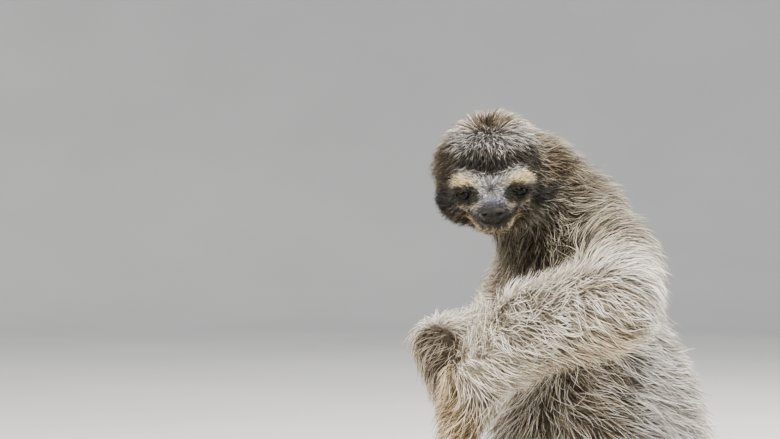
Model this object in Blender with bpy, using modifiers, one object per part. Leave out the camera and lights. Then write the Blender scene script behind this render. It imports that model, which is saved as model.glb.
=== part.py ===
"""Three-toed sloth, a young adult at life size, sitting upright on its rump and feet.

Its arms are held out in front as if round a trunk, and its head is turned to its left. Every solid
reaches out to the tips of the coat. Lengths are in millimetres until an object is made.

Two frames are used:
- the animal's own frame, (side, front, height), where side is towards its left flank, front is the
  way its belly faces and height is above the floor;
- the head's frame, (side, front, up), whose origin is the middle of the braincase.
"""

import math

import bmesh
import bpy
from mathutils import Matrix, Vector

MM = 0.001
GAP = 0.3  # left between neighbouring solids

# How the animal sits. Turn 0 would face the trunk and the head along -Y.
TRUNK_TURN = -62.0
HEAD_TURN, HEAD_NOD, HEAD_ROLL = -4.0, 12.0, -4.0
HEAD_CENTRE = (-7.5, 78.0, 361.0)

# Trunk sections: (height, centre's front, half depth, half width).
TRUNK = (
    (46, 0, 76, 80),
    (84, 3, 84, 88),
    (125, 4, 83, 86),
    (165, 4, 79, 82),
    (198, 4, 74, 77),
    (226, 6, 65, 69),
    (263, 14, 51, 56),
    (292, 16, 48, 55),
)
TRUNK_CAP = 0.64  # vertical over horizontal radius of a section's bead

# Limb stations: (side, front, height, radius), on the animal's left. LEFT and RIGHT differ in pose.
NECK = ((-1, 26, 300, 46), (-4, 20, 326, 41), (-12, 31, 333, 43), (-10, 51, 353, 39))
LEFT_ARM = {
    "shoulder": (36, 20, 306, 35),
    "elbow": (111, 68, 282, 30),
    "forearm": (68, 94, 271, 31),
    "wrist": (24, 109, 239, 23.5),
    "knuckles": (14, 117, 200, 13.5),
}
RIGHT_ARM = {
    "shoulder": (-36, 20, 306, 35),
    "elbow": (-124, 4, 241, 30),
    "forearm": (-88, 48, 248, 27.5),
    "wrist": (-45, 96, 255, 22),
    "knuckles": (-15, 97, 215, 14),
}
LEFT_LEG = {
    "hip": (46, 14, 66, 46),
    "knee": (80, 80, 112, 33),
    "ankle": (64, 120, 29, 21),
    "toes": (58, 164, 13, 14),
}
RIGHT_LEG = {
    "hip": (-46, 14, 66, 46),
    "knee": (-82, 78, 108, 33),
    "ankle": (-68, 122, 29, 21),
    "toes": (-64, 166, 13, 14),
}
TAIL = ((0, -60, 34, 25), (4, -84, 18, 18), (8, -108, 12, 13))

# Cuts part the trunk and each limb: (point, direction, radius of the cut).
NECK_CUT = ((-2, 36, 319), (0, 0.5, 0.86), 66)
TAIL_CUT = ((2, -82, 20), (0.1, -0.85, -0.5), 30)
ELBOW_REACH, WRIST_REACH, KNEE_REACH, ANKLE_REACH = 95, 46, 76, 40

# Head beads: (side, front, up, half width, half depth, half height). Beads off the midline repeat.
HEAD = (
    (0, -4, 2, 38.5, 42, 37),
    (0, -26, -4, 34, 24, 33),
    (0, 18, -8, 34, 25, 25),
    (17, 14, -13, 21.5, 22, 17),
    (0, 38, -17, 18, 14, 12),
    (0, 28, -24, 18, 18, 10),
)
EYE = (17.0, 34.0, -5.7)
EYE_RADIUS = 5.6
EYE_HOLLOW = (8.5, 3.4, 6.0)  # half sizes of the orbit's shallow bowl
NOSE = (0, 50.5, -14.2)
NOSE_SIZE = (8.2, 4.2, 4.3)
EAR = (37.3, -10, 0)
EAR_SIZE = (2.6, 7.0, 8.5)

# Claws: three a paw, arcs that bend towards the palm or sole.
DIGITS = (-1, 0, 1)
DIGIT_SPREAD = 8.0
CLAW_ROOT, CLAW_TIP = 3.3, 0.5
CLAW_BURIED = 7.0
HAND_CLAW = {"length": 58.0, "turn": 78.0, "lift": 28.0}
FOOT_CLAW = {"length": 48.0, "turn": 46.0, "lift": 14.0}
CLAW_STEPS = 6

# Mesh making.
VOXEL = 2.5
SMOOTHING = 8
BEAD_SPACING = 0.36  # of a bead's smallest radius
HEAD_TRIANGLES, CORE_TRIANGLES, LIMB_TRIANGLES = 1150, 1020, 520
LEAST_SHARE = 0.02  # of a parted body's points. What is smaller is a crumb of a cut.

COLOURS = {
    "coat": ((0.46, 0.38, 0.29), 0.9),
    "eye": ((0.02, 0.012, 0.008), 0.08),
    "nose": ((0.035, 0.03, 0.032), 0.35),
    "claw": ((0.42, 0.34, 0.24), 0.4),
}


def clear_scene():
    for obj in list(bpy.data.objects):
        bpy.data.objects.remove(obj)


def new_collection(name):
    collection = bpy.data.collections.new(name)
    bpy.context.scene.collection.children.link(collection)
    return collection


def new_material(name):
    colour, roughness = COLOURS[name]
    material = bpy.data.materials.new(name)
    material.use_nodes = True
    shader = material.node_tree.nodes["Principled BSDF"]
    shader.inputs["Base Color"].default_value = (*colour, 1.0)
    shader.inputs["Roughness"].default_value = roughness
    shader.inputs["Metallic"].default_value = 0.0
    return material


def turn_about(axis, degrees):
    return Matrix.Rotation(math.radians(degrees), 4, axis)


ANIMAL = turn_about("Z", TRUNK_TURN)


def in_animal(side, front, height):
    """A point of the animal's frame, in the part's frame."""
    return ANIMAL @ Vector((side, -front, height))


HEAD_FRAME = (
    Matrix.Translation(in_animal(*HEAD_CENTRE))
    @ turn_about("Z", HEAD_TURN)
    @ turn_about("X", HEAD_NOD)
    @ turn_about("Y", HEAD_ROLL)
)


def in_head(side, front, up):
    """A point of the head's frame, in the part's frame."""
    return HEAD_FRAME @ Vector((side, -front, up))


def bead(centre, radii, turned=Matrix()):
    """The matrix that makes a unit sphere into an ellipsoid at centre."""
    return Matrix.Translation(centre) @ turned.to_3x3().to_4x4() @ Matrix.Diagonal((*radii, 1.0))


def chain(stations, turned=Matrix()):
    """Ellipsoids in a row through stations of (centre, radii)."""
    made = []
    for (start, first), (end, last) in zip(stations, stations[1:]):
        first, last = Vector(first), Vector(last)
        steps = math.ceil((end - start).length / (min(*first, *last) * BEAD_SPACING))
        for k in range(steps + 1):
            share = k / steps
            made.append(bead(start.lerp(end, share), first.lerp(last, share), turned))
    return made


def limb(*stations):
    """A round tapering limb through stations of (side, front, height, radius)."""
    return chain([(in_animal(*s[:3]), (s[3],) * 3) for s in stations])


def evaluated_mesh(obj):
    graph = bpy.context.evaluated_depsgraph_get()
    return bpy.data.meshes.new_from_object(obj.evaluated_get(graph))


def apply_modifiers(obj):
    mesh = evaluated_mesh(obj)
    obj.modifiers.clear()
    obj.data = mesh


def mesh_object(name, mesh, collection):
    obj = bpy.data.objects.new(name, mesh)
    collection.objects.link(obj)
    return obj


def ellipsoids(name, matrices, collection, segments=18, rings=12):
    """One object of unit spheres placed by these matrices, in metres."""
    shape = bmesh.new()
    for matrix in matrices:
        size = Matrix.Scale(MM, 4) @ matrix
        bmesh.ops.create_uvsphere(shape, u_segments=segments, v_segments=rings, radius=1.0, matrix=size)
    mesh = bpy.data.meshes.new(name)
    shape.to_mesh(mesh)
    shape.free()
    return mesh_object(name, mesh, collection)


def disc(name, centre, direction, radius, cutters):
    """A disc as thick as the gap, which parts a limb."""
    turn = Vector(direction).to_track_quat("Z", "Y").to_matrix().to_4x4()
    place = Matrix.Scale(MM, 4) @ Matrix.Translation(centre) @ turn
    shape = bmesh.new()
    bmesh.ops.create_cone(
        shape, cap_ends=True, segments=24, radius1=radius, radius2=radius, depth=GAP, matrix=place
    )
    mesh = bpy.data.meshes.new(name)
    shape.to_mesh(mesh)
    shape.free()
    obj = mesh_object(name, mesh, cutters)
    as_cutter(obj)
    return obj


def blob(name, matrices, triangles, collection):
    """One smooth closed body round the beads, with about so many triangles."""
    obj = ellipsoids(name, matrices, collection)
    remesh = obj.modifiers.new("Join", "REMESH")
    remesh.mode = "VOXEL"
    remesh.voxel_size = VOXEL * MM
    smooth = obj.modifiers.new("Relax", "SMOOTH")
    smooth.iterations = SMOOTHING
    apply_modifiers(obj)
    obj.data.calc_loop_triangles()
    thin = obj.modifiers.new("Thin out", "DECIMATE")
    thin.ratio = triangles / len(obj.data.loop_triangles)
    thin.use_collapse_triangulate = True
    apply_modifiers(obj)
    return obj


def grown_copy(obj, cutters):
    """The same shape with its faces moved out by the gap, as a cutter."""
    cutter = mesh_object(obj.name + "_cutter", obj.data.copy(), cutters)
    grow = cutter.modifiers.new("Gap", "DISPLACE")
    grow.strength = GAP * MM
    grow.mid_level = 0.0
    apply_modifiers(cutter)
    as_cutter(cutter)
    return cutter


def as_cutter(obj):
    obj.hide_render = True
    obj.display_type = "WIRE"


def subtract(obj, cutter):
    cut = obj.modifiers.new("Cut", "BOOLEAN")
    cut.operation = "DIFFERENCE"
    cut.solver = "EXACT"
    cut.object = cutter
    apply_modifiers(obj)


def box_of(obj):
    points = [v.co for v in obj.data.vertices]
    low = Vector([min(p[k] for p in points) for k in range(3)])
    high = Vector([max(p[k] for p in points) for k in range(3)])
    return low, high


def near(first, second):
    (low_a, high_a), (low_b, high_b) = box_of(first), box_of(second)
    return all(low_a[k] < high_b[k] + MM and low_b[k] < high_a[k] + MM for k in range(3))


def islands(mesh):
    """The vertex sets of the mesh's separate bodies."""
    shape = bmesh.new()
    shape.from_mesh(mesh)
    left, found = set(shape.verts), []
    while left:
        island, edge = set(), {left.pop()}
        while edge:
            island |= edge
            edge = {e.other_vert(v) for v in edge for e in v.link_edges} - island
        left -= island
        found.append({v.index for v in island})
    shape.free()
    return found


def keep_only(mesh, kept):
    shape = bmesh.new()
    shape.from_mesh(mesh)
    others = [v for v in shape.verts if v.index not in kept]
    bmesh.ops.delete(shape, geom=others, context="VERTS")
    shape.to_mesh(mesh)
    shape.free()


def floor_cutter(cutters):
    """A slab below height 0, which leaves the rump and the soles flat."""
    bpy.ops.mesh.primitive_cube_add(size=1.0)
    slab = bpy.context.active_object
    slab.name = "floor_cutter"
    slab.data.transform(Matrix.Translation((0, 0, -0.05)) @ Matrix.Diagonal((1.5, 1.5, 0.1, 1.0)))
    for owner in list(slab.users_collection):
        owner.objects.unlink(slab)
    cutters.objects.link(slab)
    as_cutter(slab)
    return slab


class Builder:
    """Places solids one after another. Each gives way to those that were placed before it."""

    def __init__(self):
        self.parts = new_collection("three_toed_sloth")
        self.cutters = new_collection("cutters")
        self.floor = floor_cutter(self.cutters)
        self.materials = {name: new_material(name) for name in COLOURS}
        self.taken = []
        self.solids = []

    def give_way(self, obj):
        """Cuts from obj what other solids and the floor take, and takes obj's own first shape."""
        cutter = grown_copy(obj, self.cutters)
        for other in self.taken:
            if near(obj, other):
                subtract(obj, other)
        if box_of(obj)[0].z < 0:
            subtract(obj, self.floor)
        self.taken.append(cutter)

    def finish(self, obj, material):
        obj.data.materials.clear()
        obj.data.materials.append(self.materials[material])
        obj.data.shade_smooth()
        obj.data.set_sharp_from_angle(angle=math.radians(50))
        self.solids.append(obj)

    def ellipsoid(self, name, matrix, material, segments=12, rings=8):
        obj = ellipsoids(name, [matrix], self.parts, segments, rings)
        self.give_way(obj)
        self.finish(obj, material)

    def flesh(self, name, matrices, triangles, material, hollows=()):
        obj = blob(name, matrices, triangles, self.parts)
        self.give_way(obj)
        for hollow in hollows:
            subtract(obj, hollow)
        self.finish(obj, material)

    def parted_flesh(self, matrices, triangles, cuts, middles):
        """One smooth body, cut into a solid for each name in middles, found by its middle point."""
        whole = blob("whole", matrices, triangles, self.parts)
        self.give_way(whole)
        for number, (point, direction, radius) in enumerate(cuts, 1):
            name = f"{next(iter(middles))}_cut_{number}"
            subtract(whole, disc(name, point, direction, radius, self.cutters))
        bodies = []
        for island in islands(whole.data):
            middle = sum((whole.data.vertices[i].co for i in island), Vector()) / len(island)
            if len(island) > len(whole.data.vertices) * LEAST_SHARE:
                bodies.append((middle / MM, island))
        assert len(bodies) == len(middles), (list(middles), len(bodies))
        for name, goal in middles.items():
            island = min(bodies, key=lambda body: (body[0] - goal).length)[1]
            obj = mesh_object(name, whole.data.copy(), self.parts)
            keep_only(obj.data, island)
            self.finish(obj, "coat")
        bpy.data.objects.remove(whole)


def claw_path(root, forward, towards, length, turn, lift):
    """Points of an arc that starts along forward, lifted away, and bends towards the palm."""
    points = [root]
    step = length / CLAW_STEPS
    for k in range(CLAW_STEPS):
        angle = math.radians(-lift + turn * (k + 0.5) / CLAW_STEPS)
        heading = forward * math.cos(angle) + towards * math.sin(angle)
        points.append(points[-1] + heading * step)
    return points


def claw(name, points, collection):
    """A claw as a tapering tube along its path, thick at the root."""
    curve = bpy.data.curves.new(name, "CURVE")
    curve.dimensions = "3D"
    curve.bevel_depth = MM
    curve.bevel_resolution = 1
    curve.use_fill_caps = True
    spline = curve.splines.new("POLY")
    spline.points.add(len(points) - 1)
    last = len(points) - 1
    for k, point in enumerate(points):
        spline.points[k].co = (*(point * MM), 1.0)
        spline.points[k].radius = CLAW_TIP + (CLAW_ROOT - CLAW_TIP) * (1 - k / last) ** 0.6
    tube = mesh_object(name + "_tube", curve, collection)
    shape = bmesh.new()
    shape.from_mesh(evaluated_mesh(tube))
    bmesh.ops.remove_doubles(shape, verts=shape.verts, dist=0.01 * MM)
    bmesh.ops.recalc_face_normals(shape, faces=shape.faces)
    mesh = bpy.data.meshes.new(name)
    shape.to_mesh(mesh)
    shape.free()
    bpy.data.objects.remove(tube)
    return mesh_object(name, mesh, collection)


def add_claws(builder, name, end, forward, palm, size):
    across = forward.cross(palm).normalized()
    for number, digit in enumerate(DIGITS, 1):
        root = end + across * digit * DIGIT_SPREAD - forward * CLAW_BURIED
        path = claw_path(root, forward, palm, size["length"], size["turn"], size["lift"])
        obj = claw(f"claw_{name}_{number}", path, builder.parts)
        builder.give_way(obj)
        builder.finish(obj, "claw")


def digit_beads(start, end, across, thick_start, thick_end):
    """Three digits side by side, from the wrist or ankle to the claw roots."""
    made = []
    for digit in DIGITS:
        shift = across * digit
        middle = start.lerp(end, 0.55) + shift * DIGIT_SPREAD * 0.9
        stations = [
            (start + shift * DIGIT_SPREAD * 0.35, (thick_start,) * 3),
            (middle, ((thick_start + thick_end) / 2,) * 3),
            (end + shift * DIGIT_SPREAD, (thick_end,) * 3),
        ]
        made += chain(stations)
    return made


def joint_cut(before, joint, after, reach):
    """A cut at the joint, square to the way the limb passes through it."""
    before, joint, after = (in_animal(*s[:3]) for s in (before, joint, after))
    direction = (joint - before).normalized() + (after - joint).normalized()
    return joint, direction, reach


def middle_of(first, second):
    return in_animal(*first[:3]).lerp(in_animal(*second[:3]), 0.5)


def build_head(builder):
    hollows = []
    for side, sign in (("left", 1), ("right", -1)):
        centre = in_head(sign * EYE[0], EYE[1] - 1.5 + EYE_RADIUS, EYE[2])
        bowl = bead(centre, EYE_HOLLOW, HEAD_FRAME)
        hollow = ellipsoids(f"orbit_{side}", [bowl], builder.cutters, 12, 8)
        as_cutter(hollow)
        hollows.append(hollow)
        eye = in_head(sign * EYE[0], EYE[1], EYE[2])
        builder.ellipsoid(f"eye_{side}", bead(eye, (EYE_RADIUS,) * 3), "eye")
        ear = in_head(sign * EAR[0], EAR[1], EAR[2])
        builder.ellipsoid(f"ear_{side}", bead(ear, EAR_SIZE, HEAD_FRAME), "coat", 10, 6)
    builder.ellipsoid("nose", bead(in_head(*NOSE), NOSE_SIZE, HEAD_FRAME), "nose")
    beads = []
    for side, front, up, *radii in HEAD:
        for sign in {0: (1,)}.get(side, (1, -1)):
            beads.append(bead(in_head(sign * side, front, up), radii, HEAD_FRAME))
    builder.flesh("head", beads, HEAD_TRIANGLES, "coat", hollows)


def build_core(builder):
    stations = []
    for height, front, deep, wide in TRUNK:
        stations.append((in_animal(0, front, height), (wide, deep, (deep + wide) / 2 * TRUNK_CAP)))
    beads = chain(stations, ANIMAL) + limb(*NECK) + limb(*TAIL)
    cuts = []
    for point, direction, reach in (NECK_CUT, TAIL_CUT):
        cuts.append((in_animal(*point), in_animal(*direction), reach))
    middles = {
        "neck": middle_of(NECK[1], NECK[2]),
        "trunk": in_animal(0, 5, 165),
        "tail": middle_of(TAIL[1], TAIL[2]),
    }
    builder.parted_flesh(beads, CORE_TRIANGLES, cuts, middles)


def build_arm(builder, side, arm):
    shoulder, elbow, forearm, wrist, knuckles = arm.values()
    start, end = in_animal(*wrist[:3]), in_animal(*knuckles[:3])
    forward = (end - start).normalized()
    inward = Vector((-end.x, -end.y, 0))
    palm = (inward - forward * inward.dot(forward)).normalized()
    add_claws(builder, f"hand_{side}", end, forward, palm, HAND_CLAW)
    beads = limb(shoulder, elbow, forearm, wrist)
    beads += digit_beads(start, end, forward.cross(palm), wrist[3] - 4, knuckles[3] - 2)
    cuts = [
        joint_cut(shoulder, elbow, forearm, ELBOW_REACH),
        joint_cut(forearm, wrist, knuckles, WRIST_REACH),
    ]
    middles = {
        f"upper_arm_{side}": middle_of(shoulder, elbow),
        f"forearm_{side}": in_animal(*forearm[:3]),
        f"hand_{side}": middle_of(wrist, knuckles),
    }
    builder.parted_flesh(beads, LIMB_TRIANGLES, cuts, middles)


def build_leg(builder, side, leg):
    hip, knee, ankle, toes = leg.values()
    start, end = in_animal(*ankle[:3]), in_animal(*toes[:3])
    forward = Vector((end.x - start.x, end.y - start.y, 0)).normalized()
    down = Vector((0, 0, -1))
    add_claws(builder, f"foot_{side}", end, forward, down, FOOT_CLAW)
    beads = limb(hip, knee, ankle)
    heel = start - Vector((0, 0, 8))
    beads += digit_beads(heel, end, forward.cross(down), ankle[3], toes[3])
    cuts = [
        joint_cut(hip, knee, ankle, KNEE_REACH),
        joint_cut(knee, ankle, toes, ANKLE_REACH),
    ]
    middles = {
        f"thigh_{side}": middle_of(hip, knee),
        f"shank_{side}": middle_of(knee, ankle),
        f"foot_{side}": middle_of(ankle, toes),
    }
    builder.parted_flesh(beads, LIMB_TRIANGLES, cuts, middles)


def centre_on_floor(builder):
    """Moves all solids so that the middle of the whole stands over the origin."""
    boxes = [box_of(obj) for obj in builder.solids]
    low = [min(b[0][k] for b in boxes) for k in range(3)]
    high = [max(b[1][k] for b in boxes) for k in range(3)]
    stance = bpy.data.objects.new("stance", None)
    builder.parts.objects.link(stance)
    stance.location = (-(low[0] + high[0]) / 2, -(low[1] + high[1]) / 2, 0)
    for obj in builder.solids:
        obj.parent = stance


def main():
    clear_scene()
    builder = Builder()
    build_head(builder)
    build_core(builder)
    build_arm(builder, "left", LEFT_ARM)
    build_arm(builder, "right", RIGHT_ARM)
    build_leg(builder, "left", LEFT_LEG)
    build_leg(builder, "right", RIGHT_LEG)
    centre_on_floor(builder)


main()
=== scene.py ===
"""Looks of the three-toed sloth: one skin over its flesh, a coat of solid hairs, eyes, nose and claws.

Lengths in the animal's and the head's frames are in millimetres. Both frames are part.py's:
- the animal's is (side, front, height), where side is towards its left flank;
- the head's is (side, front, up), from the middle of the braincase.
"""

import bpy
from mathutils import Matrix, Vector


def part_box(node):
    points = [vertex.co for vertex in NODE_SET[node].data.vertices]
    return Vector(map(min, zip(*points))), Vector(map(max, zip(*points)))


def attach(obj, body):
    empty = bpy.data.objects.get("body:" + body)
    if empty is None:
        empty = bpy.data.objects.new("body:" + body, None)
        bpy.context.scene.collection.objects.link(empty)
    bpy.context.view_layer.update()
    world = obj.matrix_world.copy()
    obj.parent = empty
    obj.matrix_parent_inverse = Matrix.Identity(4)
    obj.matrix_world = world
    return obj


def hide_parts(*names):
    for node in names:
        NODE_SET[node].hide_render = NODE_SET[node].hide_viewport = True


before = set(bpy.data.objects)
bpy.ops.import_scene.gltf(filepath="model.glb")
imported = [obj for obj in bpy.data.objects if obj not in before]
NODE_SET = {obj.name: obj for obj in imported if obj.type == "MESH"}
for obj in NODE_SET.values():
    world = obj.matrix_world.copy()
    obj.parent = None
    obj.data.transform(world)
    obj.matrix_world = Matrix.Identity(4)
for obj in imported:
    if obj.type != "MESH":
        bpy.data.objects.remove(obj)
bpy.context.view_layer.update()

import math

import bmesh
import bpy
import numpy as np
from mathutils import Matrix, Vector
from mathutils.kdtree import KDTree

MM = 0.001
RNG = np.random.default_rng(20)
BODY = "root"
ARM = ("upper_arm", "forearm", "hand")
LEG = ("thigh", "shank", "foot")
FLESH = ["head", "neck", "trunk", "tail"]
FLESH += [f"{part}_{side}" for part in (*ARM, *LEG, "ear") for side in ("left", "right")]

# --- frames ---


def turn(axis, degrees):
    return np.array(Matrix.Rotation(math.radians(degrees), 3, axis))


ANIMAL_AXES = turn("Z", -62)
HEAD_AXES = turn("Z", -4) @ turn("X", 12) @ turn("Y", -4)
FLIP = np.array([1, -1, 1])
EYE_AT = np.array([17.0, 34.0, -5.7])
NOSE_AT = np.array([0.0, 50.5, -14.2])
MOUTH_AT = -21.0  # up, at the middle
MOUTH_CURVE = 0.030
HEAD_AT = np.array([-7.5, 78.0, 361.0])  # in the animal's frame
FACE_MIDDLE = (0, 40, -9)
MOUTH_SPOTS = ((0, -19), (9, -18), (-9, -18), (0, -24))  # side and up


def centre(node):
    low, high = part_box(node)
    return np.array((low + high) / 2)


EYES = {"left": centre("eye_left"), "right": centre("eye_right")}
HEAD_ORIGIN = sum(EYES.values()) / 2 - HEAD_AXES @ (EYE_AT * [0, -1, 1]) * MM
ANIMAL_ORIGIN = HEAD_ORIGIN - ANIMAL_AXES @ (HEAD_AT * FLIP) * MM


def to_head(points):
    return (points - HEAD_ORIGIN) @ HEAD_AXES * FLIP / MM


def from_head(points):
    return np.asarray(points, float) * FLIP * MM @ HEAD_AXES.T + HEAD_ORIGIN


def to_animal(points):
    return (points - ANIMAL_ORIGIN) @ ANIMAL_AXES * FLIP / MM


def animal_dir(vectors):
    return np.asarray(vectors, float) * FLIP @ ANIMAL_AXES.T


def head_dir(vectors):
    return np.asarray(vectors, float) * FLIP @ HEAD_AXES.T


def unit(vectors):
    return vectors / np.maximum(np.linalg.norm(vectors, axis=-1, keepdims=True), 1e-9)


def ease(x, start, end):
    """0 before start, 1 after end, smooth between. start may lie above end."""
    t = np.clip((x - start) / (end - start), 0, 1)
    return t * t * (3 - 2 * t)


def blend(a, b, share):
    share = np.asarray(share)[..., None] if np.ndim(a) > np.ndim(share) else share
    return a + (b - a) * share


def hill(*offsets):
    """1 where every offset is 0, falling off smoothly as any of them passes 1."""
    return np.exp(-sum(offset**2 for offset in offsets))


def columns(*values):
    """One row for each point. A value may be a single number."""
    return np.stack(np.broadcast_arrays(*values), 1)


def rows_of(items, field, width=3, kind=np.float32):
    """A field of a mesh's points, edges or faces, one row each."""
    flat = np.empty(len(items) * width, kind)
    items.foreach_get(field, flat)
    return flat.reshape(-1, width)


def tree_of(points):
    tree = KDTree(len(points))
    for number, point in enumerate(points):
        tree.insert(point, number)
    tree.balance()
    return tree


# --- skin ---

SKIN_VOXEL = 2.6 * MM
SKIN_RELAX = 8  # rounds, which take off the voxels' steps


def mesh_from(shape, name):
    mesh = bpy.data.meshes.new(name)
    shape.to_mesh(mesh)
    shape.free()
    return mesh


def new_object(name, data):
    obj = bpy.data.objects.new(name, data)
    bpy.context.scene.collection.objects.link(obj)
    return obj


def largest_island(shape):
    shape.verts.ensure_lookup_table()
    left = set(shape.verts)
    best = set()
    while left:
        island, edge = set(), {left.pop()}
        while edge:
            island |= edge
            edge = {e.other_vert(v) for v in edge for e in v.link_edges} - island
        left -= island
        best = max(best, island, key=len)
    return best


def refine(shape, inside, smoothing):
    """Halves the edges of the faces whose middle is inside, and relaxes the points inside."""
    faces = [f for f in shape.faces if inside(f.calc_center_median())]
    edges = list({e for f in faces for e in f.edges})
    bmesh.ops.subdivide_edges(shape, edges=edges, cuts=1, use_grid_fill=True)
    verts = [v for v in shape.verts if inside(v.co)]
    every_axis = {f"use_axis_{axis}": True for axis in "xyz"}
    for _ in range(smoothing):
        bmesh.ops.smooth_vert(shape, verts=verts, factor=0.5, **every_axis)


def joined_flesh():
    """One closed body over all flesh nodes, with the eye and nose sockets filled."""
    shape = bmesh.new()
    for node in [*FLESH, "eye_left", "eye_right", "nose"]:
        shape.from_mesh(NODE_SET[node].data)
    obj = new_object("skin", mesh_from(shape, "skin"))
    remesh = obj.modifiers.new("Join", "REMESH")
    remesh.mode = "VOXEL"
    remesh.voxel_size = SKIN_VOXEL
    relax = obj.modifiers.new("Relax", "SMOOTH")
    relax.iterations = SKIN_RELAX
    graph = bpy.context.evaluated_depsgraph_get()
    mesh = bpy.data.meshes.new_from_object(obj.evaluated_get(graph))
    bpy.data.objects.remove(obj)
    shape = bmesh.new()
    shape.from_mesh(mesh)
    keep = largest_island(shape)
    bmesh.ops.delete(shape, geom=[v for v in shape.verts if v not in keep], context="VERTS")
    return shape


def near_face(reach):
    middle = Vector(from_head(FACE_MIDDLE))
    return lambda point: (point - middle).length < reach * MM


def near_feature(reach):
    spots = [Vector(from_head([sign * EYE_AT[0], 37, EYE_AT[2]])) for sign in (1, -1)]
    spots += [Vector(from_head([side, 47, up])) for side, up in MOUTH_SPOTS]
    return lambda point: min((point - spot).length for spot in spots) < reach * MM


class Skin:
    """The skin's mesh, and its points, normals, edges and triangles as arrays."""

    def __init__(self, shape):
        bmesh.ops.triangulate(shape, faces=shape.faces)
        shape.normal_update()
        self.mesh = mesh_from(shape, "skin")
        self.read()

    def read(self):
        mesh = self.mesh
        self.points = rows_of(mesh.vertices, "co").astype(float)
        self.normals = rows_of(mesh.vertex_normals, "vector").astype(float)
        self.edges = rows_of(mesh.edges, "vertices", 2, np.int32)
        self.triangles = rows_of(mesh.polygons, "vertices", 3, np.int32)

    def write(self, points):
        self.mesh.vertices.foreach_set("co", points.astype(np.float32).ravel())
        self.mesh.update()
        self.read()

    def smoothed(self, values, rounds, share=1.0):
        """Each point's value pulled towards its neighbours' mean."""
        values = values.astype(float)
        one, two = self.edges.T
        count = np.bincount(one, minlength=len(values)) + np.bincount(two, minlength=len(values))
        flat = values.reshape(len(values), -1)
        for _ in range(rounds):
            total = np.stack([
                np.bincount(one, flat[two, k], len(flat)) + np.bincount(two, flat[one, k], len(flat))
                for k in range(flat.shape[1])
            ], 1)
            flat = flat + (total / np.maximum(count, 1)[:, None] - flat) * share
        return flat.reshape(values.shape)


def label_parts(points):
    """Which flesh node each point belongs to, by the nearest of the nodes' points."""
    samples, owner = [], []
    for number, node in enumerate(FLESH):
        mesh = NODE_SET[node].data
        for part in (rows_of(mesh.vertices, "co"), rows_of(mesh.polygons, "center")):
            samples.append(part)
            owner += [number] * len(part)
    tree = tree_of(np.concatenate(samples))
    return np.array([owner[tree.find(p)[1]] for p in points])


def parts_are(parts, *names):
    wanted = [k for k, node in enumerate(FLESH) if any(node.startswith(n) for n in names)]
    return np.isin(parts, wanted)


# Coat by part: (depth, length, hair width, roots per square centimetre), all in mm but the last.
COAT = {
    "head": (7, 12, 0.46, 84),
    "neck": (11, 19, 0.42, 58),
    "trunk": (14, 26, 0.55, 29),
    "tail": (7, 18, 0.50, 36),
    "upper_arm": (12, 22, 0.51, 43),
    "forearm": (11, 20, 0.51, 49),
    "hand": (7, 17, 0.46, 56),
    "thigh": (12, 25, 0.56, 27),
    "shank": (9, 20, 0.54, 31),
    "foot": (5, 13, 0.46, 48),
    "ear": (5, 11, 0.44, 80),
}
# The same for areas that differ from their part, in the order laid.
AREA_COAT = {
    "front": (4.0, 7.5, 0.38, 200),
    "face": (2.0, 4.6, 0.34, 320),
    "muzzle": (1.3, 2.6, 0.32, 400),
    "chin": (6.5, 11.0, 0.42, 140),
    "cheek": (7.0, 12.0, 0.42, 140),
    "tuft": (8.0, 12.0, 0.40, 170),
    "ruff": (7.0, 9.0, 0.42, 110),
}
LID_SLANT = math.radians(7)
EYE_PATCH = (9.6, 6.2)  # half its width and height, and so are the next three
LID = (5.6, 3.8)
BARE_LID = (5.2, 3.2)
BARE_NOSE = (7.2, 2.5)


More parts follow.
